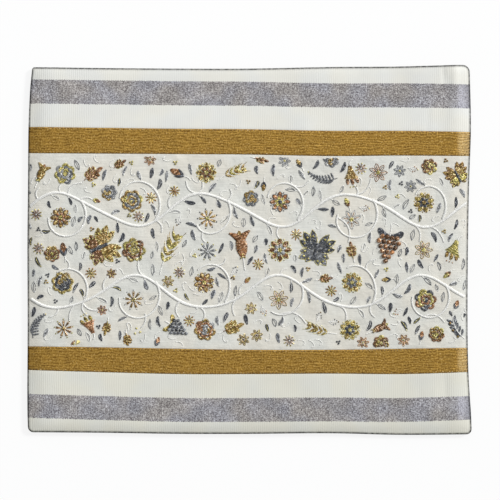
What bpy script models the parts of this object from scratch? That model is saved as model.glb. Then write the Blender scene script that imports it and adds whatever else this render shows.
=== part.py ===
"""A flat zipped cloth bag for a prayer shawl, lying closed on its back.

Sizes are in millimetres until a mesh is made. X runs to the right across the front, Y runs up to
the zipped edge, and Z points up out of the front. The origin is under the middle of the bag, on
the surface that it lies on. The front is five pieces pieced together, the back is one, and a zip
closes the mouth between their top edges, with its pull tab on a hinge.
"""

import math
from collections import namedtuple

import bmesh
import bpy
from mathutils import Matrix

TO_METRES = 0.001
SHARP_FROM = 40

# The pieced lines of the front, read at seven places across it
Across = namedtuple(
    "Across", "x top_edge upper_gold_top upper_gold_foot lower_gold_top lower_gold_foot bottom_edge"
)
ACROSS = [
    Across(-180, 149.1, 100.2, 79.0, -78.6, -97.7, -148.6),
    Across(-121, 148.3, 99.4, 78.6, -79.4, -99.4, -149.0),
    Across(-56, 147.8, 98.6, 78.2, -80.6, -101.0, -149.9),
    Across(0, 147.8, 98.2, 77.8, -81.4, -101.0, -149.9),
    Across(66, 149.1, 96.9, 76.6, -81.4, -100.6, -149.4),
    Across(123, 149.5, 96.9, 77.0, -80.6, -101.0, -150.7),
    Across(180, 151.1, 96.1, 76.6, -79.8, -99.4, -150.3),
]

# The side edges, read down the bag
Down = namedtuple("Down", "y left_edge right_edge")
DOWN = [
    Down(-152, -180.0, 180.8),
    Down(-140, -180.6, 181.2),
    Down(-122, -180.9, 180.0),
    Down(-97, -180.8, 178.6),
    Down(-56, -180.6, 178.0),
    Down(5, -180.8, 178.4),
    Down(58, -180.3, 179.4),
    Down(98, -180.0, 180.8),
    Down(131, -178.6, 180.2),
    Down(152, -176.4, 179.6),
]

# How the outline turns at each corner
Corner = namedtuple("Corner", "side end radius")
CORNERS = [
    Corner("left", "top", 2.0),
    Corner("right", "top", 6.0),
    Corner("left", "bottom", 4.5),
    Corner("right", "bottom", 4.5),
]

# How far in from each edge the padded front takes to reach its full height
FRONT_ROLL = {"left": 13.0, "right": 18.0, "bottom": 14.0, "top": 7.0}
BACK_ROLL = {"left": 9.0, "right": 9.0, "bottom": 9.0, "top": 3.0}

# Layers
SEAM_GAP = 0.3
SEAM_HEIGHT = 3.15
FRONT_HEIGHT = 6.3
EDGE_WALL = 0.75
GOLD_PROUD = 0.2

# Half the space between the walls at the mouth, closed on the coil or spread by the slider
Mouth = namedtuple("Mouth", "depth closed spread")
MOUTH = [
    Mouth(0, 1.25, 2.5),
    Mouth(7, 1.25, 2.5),
    Mouth(9, 0.85, 0.85),
    Mouth(15, 0.85, 0.85),
    Mouth(20, SEAM_GAP / 2, SEAM_GAP / 2),
]
MOUTH_SHUTS, MOUTH_OPEN = 7.0, 12.0
SPREAD_FULL, SPREAD_ENDS = 38.0, 68.0
MOUTH_LIFT, SPREAD_LIFT = 0.35, 0.1
SPREAD_SWELL, SWELL_DEPTH = 1.1, 34.0

# The largest soft folds: ridges and troughs, each an oval that fades out
Fold = namedtuple("Fold", "x y half_length half_width turn height")
FOLDS = [
    Fold(157, 122, 30, 7, 90, -0.55),
    Fold(169, 112, 34, 8, 90, 0.30),
    Fold(158, -122, 26, 8, 88, -0.35),
    Fold(148, -118, 30, 8, 90, 0.25),
    Fold(44, 88, 30, 13, 84, 0.25),
    Fold(-8, 92, 34, 12, 92, 0.20),
    Fold(-58, 90, 30, 12, 88, 0.20),
    Fold(-120, 20, 60, 30, 20, 0.20),
    Fold(70, -20, 70, 34, -12, 0.25),
    Fold(-30, -122, 60, 14, 2, -0.20),
    Fold(20, 128, 70, 14, -2, -0.20),
]

# Mesh rows and columns: these distances in from an outer edge, then even ones between
EDGE_STEPS = (0.0, 0.5, 1.6, 3.6, 7.0, 12.0, 18.0)
MOUTH_STEPS = (0.0, 0.5, 1.6, 3.6, 7.0, 9.0, 15.0, 20.0)
SEAM_STEPS = (0.0,)
COLUMNS = 30
STRIP_ROWS, GOLD_ROWS, PANEL_ROWS, BACK_ROWS = 4, 3, 14, 16

# Zip
COIL_DEPTH, COIL_THICK, COIL_HALF = 4.6, 1.4, 0.95
ZIP_END = 13.0
TAPE_NEAR, TAPE_FAR, TAPE_THICK = 5.6, 15.0, 0.4
TAPE_STEP_BACK, STEP_BACK_FROM, STEP_BACK_DONE = 1.15, 152.0, 157.0
ZIP_COLUMNS = 34

# Slider, about its middle on the coil: X along the zip, Y out of the mouth, Z across
SLIDER_X = 164.0
SLIDER_LONG, SLIDER_DEEP, SLIDER_WIDE, SLIDER_BEVEL = 7.6, 3.6, 4.4, 0.5
CHANNEL_DEEP = 2.0
POST_FROM, POST_WIDE = 0.9, 1.4
BRIDGE_LONG, BRIDGE_TOP, BRIDGE_WIDE, BRIDGE_SINK = 4.4, 3.85, 1.2, 0.3
EYE_LONG, EYE_FOOT, EYE_TOP = 2.6, 1.9, 3.35
CUT_PAST = 1.0

# Pull tab, about its hinge in the bridge's eye
HINGE_OUT = 2.6
TAB_LONG, TAB_THICK, TAB_WIDE = 12.6, 0.8, 3.6
TAB_BAR, TAB_BEVEL, WINDOW_LONG, WINDOW_WIDE = 0.4, 0.2, 2.9, 1.9

# Colour, roughness and metallic value of each material
FINISHES = {
    "ivory_wool": ((0.78, 0.77, 0.72), 0.85, 0.0),
    "gold_brocade": ((0.33, 0.17, 0.04), 0.45, 0.6),
    "silk_ground": ((0.66, 0.67, 0.65), 0.6, 0.0),
    "zip_tape": ((0.75, 0.73, 0.66), 0.8, 0.0),
    "zip_coil": ((0.8, 0.79, 0.75), 0.4, 0.0),
    "brass": ((0.65, 0.45, 0.18), 0.3, 1.0),
}


def curve_through(rows, key, name, at):
    """The value at a place on the smooth curve through one column of a table."""
    keys = [getattr(row, key) for row in rows]
    values = [getattr(row, name) for row in rows]
    if at <= keys[0]:
        return values[0]
    if at >= keys[-1]:
        return values[-1]
    here = max(i for i, start in enumerate(keys) if start <= at)
    slopes = []
    for i in (here, here + 1):
        before, after = max(i - 1, 0), min(i + 1, len(keys) - 1)
        slopes.append((values[after] - values[before]) / (keys[after] - keys[before]))
    step = keys[here + 1] - keys[here]
    t = (at - keys[here]) / step
    start_part = values[here] * (1 + 2 * t) * (1 - t) ** 2 + step * slopes[0] * t * (1 - t) ** 2
    end_part = values[here + 1] * t**2 * (3 - 2 * t) + step * slopes[1] * t**2 * (t - 1)
    return start_part + end_part


def line_y(name, x):
    return curve_through(ACROSS, "x", name, x)


def side_x(name, y):
    return curve_through(DOWN, "y", name, y)


def straight_between(rows, key, name, at):
    keys = [getattr(row, key) for row in rows]
    here = max(i for i, start in enumerate(keys) if start <= at) if at > keys[0] else 0
    if here == len(rows) - 1:
        return getattr(rows[-1], name)
    t = max(0.0, (at - keys[here]) / (keys[here + 1] - keys[here]))
    return getattr(rows[here], name) * (1 - t) + getattr(rows[here + 1], name) * t


def ramp(value, start, end):
    """0 at start and 1 at end, straight between them."""
    return min(1.0, max(0.0, (value - start) / (end - start)))


def smooth_ramp(value, start, end):
    t = ramp(value, start, end)
    return t * t * (3 - 2 * t)


def quarter_round(distance, width):
    """The height, from 0 to 1, of a rounded edge at a distance in from it."""
    t = ramp(distance, 0.0, width)
    return math.sqrt(1 - (1 - t) ** 2)


def edge_distances(x, y):
    return {
        "left": x - side_x("left_edge", y),
        "right": side_x("right_edge", y) - x,
        "top": line_y("top_edge", x) - y,
        "bottom": y - line_y("bottom_edge", x),
    }


def rolled(inward, widths):
    """1 on the flat of a panel, falling to 0 at its outer edges."""
    return math.prod(quarter_round(inward[side], width) for side, width in widths.items())


def mouth_open(inward):
    return ramp(min(inward["left"], inward["right"]), MOUTH_SHUTS, MOUTH_OPEN)


def slider_spread(inward):
    """How far the slider and its tab hold the mouth apart, from 0 to 1."""
    return mouth_open(inward) * (1 - smooth_ramp(inward["right"], SPREAD_FULL, SPREAD_ENDS))


def half_gap(inward):
    closed = straight_between(MOUTH, "depth", "closed", inward["top"])
    spread = straight_between(MOUTH, "depth", "spread", inward["top"])
    at_mouth = closed + (spread - closed) * slider_spread(inward)
    return SEAM_GAP / 2 + mouth_open(inward) * (at_mouth - SEAM_GAP / 2)


def middle_height(inward):
    """The height of the surface on which the front and the back meet."""
    lift = MOUTH_LIFT + SPREAD_LIFT * slider_spread(inward)
    at_mouth = 1 - ramp(inward["top"], MOUTH[2].depth, MOUTH[4].depth)
    return SEAM_HEIGHT + mouth_open(inward) * at_mouth * lift


def fold_height(x, y):
    total = 0.0
    for fold in FOLDS:
        turn = math.radians(fold.turn)
        along = (x - fold.x) * math.cos(turn) + (y - fold.y) * math.sin(turn)
        across = (y - fold.y) * math.cos(turn) - (x - fold.x) * math.sin(turn)
        reach = (along / fold.half_length) ** 2 + (across / fold.half_width) ** 2
        total += fold.height * math.exp(-reach)
    return total


def front_heights(x, y, inward):
    """The outer and inner height of the front at a point."""
    inner = middle_height(inward) + half_gap(inward)
    swell = SPREAD_SWELL * slider_spread(inward) * (1 - smooth_ramp(inward["top"], 0, SWELL_DEPTH))
    edge = inner + EDGE_WALL
    crown = FRONT_HEIGHT + swell + fold_height(x, y)
    return edge + (crown - edge) * rolled(inward, FRONT_ROLL), inner


def back_heights(x, y, inward):
    """The outer and inner height of the back, whose outside is flat where it lies."""
    inner = middle_height(inward) - half_gap(inward)
    return (inner - EDGE_WALL) * (1 - rolled(inward, BACK_ROLL)), inner


def spread_places(low, high, low_steps, high_steps, count):
    """Places from low to high: the steps in from each end, and even ones between."""
    first, last = low + low_steps[-1], high - high_steps[-1]
    between = [first + (last - first) * i / count for i in range(1, count)]
    return [low + s for s in low_steps] + between + [high - s for s in reversed(high_steps)]


def round_corner(x, y, inward):
    """Draws a point near a corner in, so that the outline turns on that corner's radius."""
    for side, end, radius in CORNERS:
        a, b = radius - inward[side], radius - inward[end]
        if a > 0 and b > 0:
            shrink = max(a, b) / math.hypot(a, b)
            x += (a - a * shrink) * (1 if side == "left" else -1)
            y += (b - b * shrink) * (1 if end == "bottom" else -1)
    return x, y


def new_object(name, bm, material, collection):
    bmesh.ops.recalc_face_normals(bm, faces=bm.faces[:])
    mesh = bpy.data.meshes.new(name)
    bm.to_mesh(mesh)
    bm.free()
    obj = bpy.data.objects.new(name, mesh)
    if material:
        mesh.materials.append(material)
        mesh.shade_smooth()
        mesh.set_sharp_from_angle(angle=math.radians(SHARP_FROM))
    collection.objects.link(obj)
    return obj


def walled_grid(columns, rows, point):
    """A closed wall: a grid, extruded to its inside. point(i, j) gives x, y and both heights."""
    bm = bmesh.new()
    bmesh.ops.create_grid(bm, x_segments=columns, y_segments=rows, size=0.5)
    outside = set(bm.verts)
    bmesh.ops.extrude_face_region(bm, geom=bm.faces[:], use_keep_orig=True)
    for vert in bm.verts:
        i, j = round((vert.co.x + 0.5) * columns), round((vert.co.y + 0.5) * rows)
        x, y, outer, inner = point(i, j)
        vert.co = (x * TO_METRES, y * TO_METRES, (outer if vert in outside else inner) * TO_METRES)
    return bm


def cloth_wall(low_line, high_line, low_steps, high_steps, count, heights, proud=0.0):
    """One cut piece between two pieced lines, closed as a wall."""
    low_seam = SEAM_GAP / 2 if low_steps == SEAM_STEPS else 0.0
    high_seam = SEAM_GAP / 2 if high_steps == SEAM_STEPS else 0.0
    columns = 2 * len(EDGE_STEPS) + COLUMNS - 2
    rows = len(low_steps) + len(high_steps) + count - 2

    def point(i, j):
        x, y = 0.0, (line_y(low_line, 0) + line_y(high_line, 0)) / 2
        for _ in range(3):
            edges = side_x("left_edge", y), side_x("right_edge", y)
            x = spread_places(*edges, EDGE_STEPS, EDGE_STEPS, COLUMNS)[i]
            lines = line_y(low_line, x) + low_seam, line_y(high_line, x) - high_seam
            y = spread_places(*lines, low_steps, high_steps, count)[j]
        inward = {side: max(0.0, far) for side, far in edge_distances(x, y).items()}
        outer, inner = heights(x, y, inward)
        return *round_corner(x, y, inward), outer + proud * rolled(inward, FRONT_ROLL), inner

    return walled_grid(columns, rows, point)


def zip_strip(start_x, end_x, near, far, low, high):
    """A strip along the top edge, between two depths below it and two heights from the middle."""

    def point(i, j):
        x = start_x + (end_x - start_x) * i / ZIP_COLUMNS
        depth = far if j == 0 else near(x)
        middle = middle_height(edge_distances(x, line_y("top_edge", x) - COIL_DEPTH))
        return x, line_y("top_edge", x) - depth, middle + high, middle + low

    return walled_grid(ZIP_COLUMNS, 1, point)


def tape_near(x):
    """The tape's near edge stands behind the coil, and steps back behind the slider."""
    return TAPE_NEAR + TAPE_STEP_BACK * smooth_ramp(x, STEP_BACK_FROM, STEP_BACK_DONE)


def block(low, high):
    """A box between two corners."""
    bm = bmesh.new()
    bmesh.ops.create_cube(bm, size=1.0)
    for vert in bm.verts:
        vert.co = [
            (a + (b - a) * (part + 0.5)) * TO_METRES for a, b, part in zip(low, high, vert.co)
        ]
    return bm


def bevelled(obj, width):
    bevel = obj.modifiers.new("Bevel", "BEVEL")
    bevel.width = width * TO_METRES
    bevel.segments = 2
    bevel.limit_method = "ANGLE"


def boolean(obj, other, operation):
    modifier = obj.modifiers.new(other.name, "BOOLEAN")
    modifier.object = other
    modifier.operation = operation
    other.hide_render = True
    other.display_type = "WIRE"


def slider_frame():
    """Where the slider sits: on the coil, in line with the top edge there."""
    y = line_y("top_edge", SLIDER_X) - COIL_DEPTH
    run = SLIDER_LONG / 2
    rise = line_y("top_edge", SLIDER_X + run) - line_y("top_edge", SLIDER_X - run)
    z = middle_height(edge_distances(SLIDER_X, y))
    place = Matrix.Translation((SLIDER_X * TO_METRES, y * TO_METRES, z * TO_METRES))
    return place @ Matrix.Rotation(math.atan2(rise, SLIDER_LONG), 4, "Z")


def make_slider(material, parts, helpers):
    x, y, z = SLIDER_LONG / 2, SLIDER_DEEP / 2, SLIDER_WIDE / 2
    channel, post, past = CHANNEL_DEEP / 2, POST_WIDE / 2, CUT_PAST
    slider = new_object("zip_slider", block((-x, -y, -z), (x, y, z)), material, parts)
    slider.matrix_world = slider_frame()
    bevelled(slider, SLIDER_BEVEL)
    cutters = {
        "channel": block((-x - past, -channel, -z - past), (POST_FROM, channel, z + past)),
        "front_slot": block((0, -channel, post), (x + past, channel, z + past)),
        "back_slot": block((0, -channel, -z - past), (x + past, channel, -post)),
    }
    for name, bm in cutters.items():
        cutter = new_object("slider_" + name, bm, None, helpers)
        cutter.matrix_world = slider.matrix_world
        boolean(slider, cutter, "DIFFERENCE")
    half = BRIDGE_LONG / 2
    arch = block((-half, y - BRIDGE_SINK, -BRIDGE_WIDE / 2), (half, BRIDGE_TOP, BRIDGE_WIDE / 2))
    eye = block((-EYE_LONG / 2, EYE_FOOT, -z), (EYE_LONG / 2, EYE_TOP, z))
    for name, bm, operation in (("bridge", arch, "UNION"), ("eye", eye, "DIFFERENCE")):
        helper = new_object("slider_" + name, bm, None, helpers)
        helper.matrix_world = slider.matrix_world
        boolean(slider, helper, operation)


def make_tab(material, parts, helpers):
    """The pull tab lies along the closed zip, and its origin is on its hinge."""
    hinge = slider_frame() @ Matrix.Translation((0, HINGE_OUT * TO_METRES, 0))
    thick, wide = TAB_THICK / 2, TAB_WIDE / 2
    plate = block((-TAB_LONG, -thick, -wide), (TAB_BAR, thick, wide))
    tab = new_object("zip_pull_tab", plate, material, parts)
    tab.matrix_world = hinge
    bevelled(tab, TAB_BEVEL)
    hole = block(
        (-TAB_BAR - WINDOW_LONG, -2 * thick, -WINDOW_WIDE / 2), (-TAB_BAR, 2 * thick, WINDOW_WIDE / 2)
    )
    window = new_object("tab_window", hole, None, helpers)
    window.matrix_world = hinge
    boolean(tab, window, "DIFFERENCE")


def make_front(materials, parts):
    pieces = [
        ("front_bottom_strip", "ivory_wool", "bottom_edge", "lower_gold_foot", STRIP_ROWS),
        ("front_lower_gold_band", "gold_brocade", "lower_gold_foot", "lower_gold_top", GOLD_ROWS),
        ("front_panel", "silk_ground", "lower_gold_top", "upper_gold_foot", PANEL_ROWS),
        ("front_upper_gold_band", "gold_brocade", "upper_gold_foot", "upper_gold_top", GOLD_ROWS),
        ("front_top_strip", "ivory_wool", "upper_gold_top", "top_edge", STRIP_ROWS),
    ]
    for name, finish, low_line, high_line, count in pieces:
        low_steps = EDGE_STEPS if low_line == "bottom_edge" else SEAM_STEPS
        high_steps = MOUTH_STEPS if high_line == "top_edge" else SEAM_STEPS
        proud = GOLD_PROUD if finish == "gold_brocade" else 0.0
        wall = cloth_wall(low_line, high_line, low_steps, high_steps, count, front_heights, proud)
        new_object(name, wall, materials[finish], parts)


def make_zip(materials, parts, helpers):
    start_x = side_x("left_edge", line_y("top_edge", -180)) + ZIP_END
    end_x = side_x("right_edge", line_y("top_edge", 180)) - ZIP_END
    gap = SEAM_GAP / 2
    layers = {"zip_tape_front": (gap, gap + TAPE_THICK), "zip_tape_back": (-gap - TAPE_THICK, -gap)}
    for name, (low, high) in layers.items():
        tape = zip_strip(start_x, end_x, tape_near, TAPE_FAR, low, high)
        new_object(name, tape, materials["zip_tape"], parts)
    near, far = COIL_DEPTH - COIL_THICK / 2, COIL_DEPTH + COIL_THICK / 2
    coil_end = SLIDER_X + POST_FROM - SEAM_GAP
    coil = zip_strip(start_x, coil_end, lambda x: near, far, -COIL_HALF, COIL_HALF)
    new_object("zip_coil", coil, materials["zip_coil"], parts)
    make_slider(materials["brass"], parts, helpers)
    make_tab(materials["brass"], parts, helpers)


def make_material(name, colour, roughness, metallic):
    material = bpy.data.materials.new(name)
    material.use_nodes = True
    shader = material.node_tree.nodes["Principled BSDF"]
    shader.inputs["Base Color"].default_value = (*colour, 1.0)
    shader.inputs["Roughness"].default_value = roughness
    shader.inputs["Metallic"].default_value = metallic
    return material


def main():
    for obj in list(bpy.data.objects):
        bpy.data.objects.remove(obj)
    parts = bpy.data.collections.new("tallit_bag")
    helpers = bpy.data.collections.new("cutters")
    for collection in (parts, helpers):
        bpy.context.scene.collection.children.link(collection)
    materials = {name: make_material(name, *finish) for name, finish in FINISHES.items()}
    make_front(materials, parts)
    back = cloth_wall("bottom_edge", "top_edge", EDGE_STEPS, MOUTH_STEPS, BACK_ROWS, back_heights)
    new_object("back_panel", back, materials["ivory_wool"], parts)
    make_zip(materials, parts, helpers)


main()
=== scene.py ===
import cmath
import random
from math import cos, degrees, pi, prod, radians, sin

import bpy
import numpy as np
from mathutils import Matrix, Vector
from mathutils.bvhtree import BVHTree


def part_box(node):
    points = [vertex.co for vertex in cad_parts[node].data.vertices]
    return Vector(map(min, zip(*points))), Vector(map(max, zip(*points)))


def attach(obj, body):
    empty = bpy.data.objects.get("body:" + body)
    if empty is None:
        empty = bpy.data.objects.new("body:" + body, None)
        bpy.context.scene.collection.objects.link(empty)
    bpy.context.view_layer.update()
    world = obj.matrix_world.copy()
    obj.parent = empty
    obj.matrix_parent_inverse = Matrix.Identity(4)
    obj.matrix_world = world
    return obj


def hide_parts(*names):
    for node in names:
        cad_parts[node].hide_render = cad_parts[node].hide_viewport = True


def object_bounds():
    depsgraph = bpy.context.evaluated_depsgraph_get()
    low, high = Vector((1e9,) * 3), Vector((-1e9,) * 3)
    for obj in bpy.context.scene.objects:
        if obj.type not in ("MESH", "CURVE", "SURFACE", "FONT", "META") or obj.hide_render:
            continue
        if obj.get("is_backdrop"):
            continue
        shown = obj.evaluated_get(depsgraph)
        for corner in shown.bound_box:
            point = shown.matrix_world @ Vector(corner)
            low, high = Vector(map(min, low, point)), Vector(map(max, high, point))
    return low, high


# A flat zipped bag for a prayer shawl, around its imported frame: cloth, bands, embroidery and zip.
# Lengths in the dictionaries are in millimetres, and mm turns them into the scene's metres.
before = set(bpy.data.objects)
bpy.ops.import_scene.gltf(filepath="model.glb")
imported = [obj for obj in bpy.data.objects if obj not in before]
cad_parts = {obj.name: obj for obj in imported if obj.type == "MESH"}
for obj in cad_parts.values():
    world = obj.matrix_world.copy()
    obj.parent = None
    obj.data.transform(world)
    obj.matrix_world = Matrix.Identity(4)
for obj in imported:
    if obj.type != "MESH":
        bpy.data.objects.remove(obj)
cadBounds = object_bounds()
mm = 0.001

# The front, from the bottom edge up: node, name, rows of faces and material slot
frontPieces = [
    ("front_bottom_strip", "bottomStrip", 16, "woven_ivory"),
    ("front_lower_gold_band", "lowerGoldBand", 9, "gold_brocade"),
    ("front_panel", "panelGround", 66, "embroidered_silk"),
    ("front_upper_gold_band", "upperGoldBand", 9, "gold_brocade"),
    ("front_top_strip", "topStrip", 14, "woven_ivory"),
]
# Where the outline and the seams run is measured on the frame, with rays from outside
measuring = dict(away=400, levels=np.linspace(0.4, 6.8, 17))
spotsX, spotsY = np.linspace(-170, 170, 35), np.linspace(-142, 142, 31)


def nodeTree(name):
    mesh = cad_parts[name].data
    return BVHTree.FromPolygons([v.co.copy() for v in mesh.vertices], [p.vertices[:] for p in mesh.polygons])


def outermost(tree, spots, axis, side):
    # how far a node reaches to one side at each spot along an axis
    reach, start, towards = [], Vector(), Vector()
    start[1 - axis], towards[1 - axis] = side * measuring["away"] * mm, -side
    for start[axis] in spots * mm:
        hits = []
        for start[2] in measuring["levels"] * mm:
            hits.append(tree.ray_cast(start, towards)[0])
        reach.append(side * max(side * hit[1 - axis] / mm for hit in hits if hit is not None))
    return np.array(reach)


def sideBySide(*rows):
    return np.stack(rows, axis=1)


def curveThrough(keys, values, at):
    # a smooth curve through sampled values, straight on past its ends
    at, slopes = np.asarray(at, float), np.gradient(values, keys)
    here = np.clip(np.searchsorted(keys, at) - 1, 0, len(keys) - 2)
    step = keys[here + 1] - keys[here]
    t = np.clip((at - keys[here]) / step, 0, 1)
    first = values[here] * (1 + 2 * t) * (1 - t) ** 2 + step * slopes[here] * t * (1 - t) ** 2
    last = values[here + 1] * t**2 * (3 - 2 * t) + step * slopes[here + 1] * t**2 * (t - 1)
    return first + last + slopes[0] * np.minimum(at - keys[0], 0) + slopes[-1] * np.maximum(at - keys[-1], 0)


frontTrees = [nodeTree(row[0]) for row in frontPieces]
lows = [outermost(tree, spotsX, 0, -1) for tree in frontTrees]
highs = [outermost(tree, spotsX, 0, 1) for tree in frontTrees]
seamLines = [lows[0]] + [(under + over) / 2 for under, over in zip(highs, lows[1:])] + [highs[-1]]
backTree = nodeTree("back_panel")
sideLines = {"left": outermost(backTree, spotsY, 1, -1), "right": outermost(backTree, spotsY, 1, 1)}
print("measured", len(seamLines), "lines across and", len(sideLines), "sides")


def seamY(line, x):
    return curveThrough(spotsX, seamLines[line], x)


def sideX(side, y):
    return curveThrough(spotsY, sideLines[side], y)


# How the padded walls stand: they roll off at the edges, and open round the zip
bag = dict(
    seamHeight=3.15, seamGap=0.3, height=6.3, edgeWall=0.75, goldProud=0.3, columns=190,
    frontRoll=dict(left=13, right=18, bottom=10, top=7), backRoll=dict(left=9, right=9, bottom=9, top=3),
    depths=(0, 7, 9, 15, 20), closed=(1.25, 1.25, 0.85, 0.85, 0.15), spread=(2.5, 2.5, 0.85, 0.85, 0.15),
    shutsAt=7, openAt=12, spreadFull=38, spreadEnds=68, lift=0.35, spreadLift=0.1,
    swell=1.1, swellDepth=34, liftFrom=9, liftEnds=20, pieceGap=0.1, seamDip=0.35, seamRound=0.9,
    # rim: where the painted edge shadow is full and where it ends; rimShadowDepth: how dark it gets
    rim=(0.8, 1.8), rimShadowDepth=0.95,
    corners=(("left", "top", 2.0), ("right", "top", 6.0), ("left", "bottom", 4.5), ("right", "bottom", 4.5)),
)
# Soft folds, then creases that are narrow: x, y, half length, half width, turn in degrees, height
folds = [
    (157, 122, 30, 7, 90, -0.5), (169, 112, 34, 8, 90, 0.3), (158, -122, 26, 8, 88, -0.35),
    (148, -118, 30, 8, 90, 0.25), (44, 88, 30, 13, 84, 0.25), (-8, 92, 34, 12, 92, 0.2),
    (-58, 90, 30, 12, 88, 0.2), (-120, 20, 60, 30, 20, 0.2), (70, -20, 70, 34, -12, 0.25),
    (-30, -122, 60, 14, 2, -0.2), (20, 128, 70, 14, -2, -0.2),
    (0, -153, 400, 7.5, 0, -1.6), (-183, 112, 46, 12, 90, -2.1), (-183, -50, 110, 9.5, 90, -2.0),
    (183, 30, 130, 8, 90, -1.2),
    (158.6, 142, 12, 1.4, 93, -0.8), (163.0, 138, 15, 1.4, 89, -1.0), (166.5, 137, 12, 2.0, 88, 0.25),
    (161, 126, 14, 1.6, 91, -0.25), (146, 110, 16, 2.0, 84, -0.2), (-171, 96, 12, 2.2, 78, 0.2),
    (-165, 132, 12, 2.2, 100, -0.2), (-172, -118, 14, 2.4, 86, -0.2), (160, -112, 15, 2.0, 92, -0.3),
    (151, -126, 12, 2.2, 86, 0.25), (139, -121, 12, 2.4, 94, -0.15), (-6, 90, 11, 1.6, 94, 0.2),
    (46, 88, 11, 1.8, 86, 0.25), (38, 90, 9, 1.4, 92, -0.15), (-59, 92, 11, 1.6, 88, 0.2),
    (-100, 134, 26, 2.6, 4, -0.15), (60, 133, 30, 2.6, -2, -0.15), (-60, -137, 32, 2.8, 1, -0.2),
    (95, -139, 26, 2.4, -3, -0.2), (170, 30, 22, 2.2, 92, -0.15), (-171, -30, 30, 2.4, 88, -0.2),
    (166, -62, 16, 2.2, 84, -0.2), (-120, -90, 10, 1.8, 96, 0.15), (10, -90, 10, 2.0, 88, 0.15),
    (90, -91, 10, 1.6, 92, 0.18), (150, -90, 9, 1.6, 95, 0.2), (108, 89, 9, 1.4, 90, 0.15),
]


def ramp(value, start, end):
    return np.clip((value - start) / (end - start), 0, 1)


def smoothRamp(value, start, end):
    t = ramp(value, start, end)
    return t * t * (3 - 2 * t)


def quarterRound(distance, width):
    return np.sqrt(1 - (1 - ramp(distance, 0, width)) ** 2)


def inwardFrom(x, y):
    far = {"left": x - sideX("left", y), "right": sideX("right", y) - x,
           "top": seamY(5, x) - y, "bottom": y - seamY(0, x)}
    return {side: np.maximum(distance, 0) for side, distance in far.items()}


def rolled(inward, widths):
    return prod(quarterRound(inward[side], width) for side, width in widths.items())


def mouthOpen(inward):
    return ramp(np.minimum(inward["left"], inward["right"]), bag["shutsAt"], bag["openAt"])


def sliderSpread(inward):
    return mouthOpen(inward) * (1 - smoothRamp(inward["right"], bag["spreadFull"], bag["spreadEnds"]))


def wallHeights(inward):
    # the middle surface, and half the space between the walls
    spread, opened = sliderSpread(inward), mouthOpen(inward)
    closedGap = np.interp(inward["top"], bag["depths"], bag["closed"])
    spreadGap = np.interp(inward["top"], bag["depths"], bag["spread"])
    half = bag["seamGap"] / 2
    lift = opened * (1 - ramp(inward["top"], bag["liftFrom"], bag["liftEnds"]))
    return (bag["seamHeight"] + lift * (bag["lift"] + bag["spreadLift"] * spread),
            half + opened * (closedGap + (spreadGap - closedGap) * spread - half))


def foldHeight(x, y):
    total = 0
    for foldX, foldY, halfLength, halfWidth, turn, height in folds:
        c, s = cos(radians(turn)), sin(radians(turn))
        along, across = (x - foldX) * c + (y - foldY) * s, (y - foldY) * c - (x - foldX) * s
        total = total + height * np.exp(-((along / halfLength) ** 2) - (across / halfWidth) ** 2)
    return total


def clothDrift(x, y):
    # the slow unevenness of cloth that has been handled
    return (0.07 * np.sin(x / 17.3 + y / 41 + 1.1) + 0.06 * np.sin(x / 9.1 - y / 23 + 0.4)
            + 0.05 * np.sin(y / 12.7 + x / 60 + 2.2))


def frontHeights(x, y, inward):
    middle, gap = wallHeights(inward)
    edge = middle + gap + bag["edgeWall"]
    swell = bag["swell"] * sliderSpread(inward) * (1 - smoothRamp(inward["top"], 0, bag["swellDepth"]))
    crown = bag["height"] + swell + foldHeight(x, y) + clothDrift(x, y)
    return edge + (crown - edge) * rolled(inward, bag["frontRoll"]), middle + gap


def backHeights(x, y, inward):
    middle, gap = wallHeights(inward)
    return (middle - gap - bag["edgeWall"]) * (1 - rolled(inward, bag["backRoll"])), middle - gap


def editAll(*jobs):
    # operators in edit mode, on all of the active mesh
    bpy.ops.object.mode_set(mode="EDIT")
    bpy.ops.mesh.select_all(action="SELECT")
    for job in jobs:
        job()
    bpy.ops.object.mode_set(mode="OBJECT")


def paint(mesh, label, values, kind="FLOAT", field="value"):
    mesh.attributes.new(label, kind, "POINT").data.foreach_set(field, values.astype(np.float32).ravel())


def newShape(add, name, **sizes):
    # a primitive to start from, with nothing else selected
    bpy.ops.object.select_all(action="DESELECT")
    add(**sizes)
    shape = bpy.context.object
    shape.name = shape.data.name = name
    return shape


def newPiece(name, mesh):
    piece = bpy.data.objects.new(name, mesh)
    bpy.context.scene.collection.objects.link(piece)
    bpy.ops.object.select_all(action="DESELECT")
    piece.select_set(True)
    bpy.context.view_layer.objects.active = piece
    return piece


def dress(piece, material):
    piece.data.materials.clear()
    piece.data.materials.append(material)


def declare(piece, material, slot, node=None, body="bag"):
    dress(piece, material)
    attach(piece, body)
    if node:
        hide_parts(node)
    print("made", piece.name, len(piece.data.polygons), "faces")
    return piece


def spreadPlaces(low, high, lowSteps, highSteps, count, index):
    # close steps in from both edges, and even ones between them
    first, last = lowSteps[-1], highSteps[-1]
    inSteps = np.concatenate([lowSteps, np.full(count - 1, first), first + last - np.array(highSteps[::-1])])
    share = np.clip((index - len(lowSteps) + 1) / count, 0, 1)
    return low + inSteps[index] + share * (high - low - first - last)


def roundCorners(x, y, inward):
    for side, end, radius in bag["corners"]:
        a, b = radius - inward[side], radius - inward[end]
        near = (a > 0) & (b > 0)
        shrink = np.where(near, 1 - np.maximum(a, b) / np.maximum(np.hypot(a, b), 1e-9), 0)
        x = x + a * shrink * (1 if side == "left" else -1)
        y = y + b * shrink * (1 if end == "bottom" else -1)
    return x, y


steps = dict(edge=(0, 0.2, 0.5, 0.9, 1.5, 2.3, 3.4, 5, 7, 9.5, 12, 15, 18), seam=(0, 0.12, 0.35, 0.8),
             mouth=(0, 0.2, 0.5, 0.9, 1.6, 2.6, 3.6, 5.2, 7, 9, 12, 15, 20))


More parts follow.
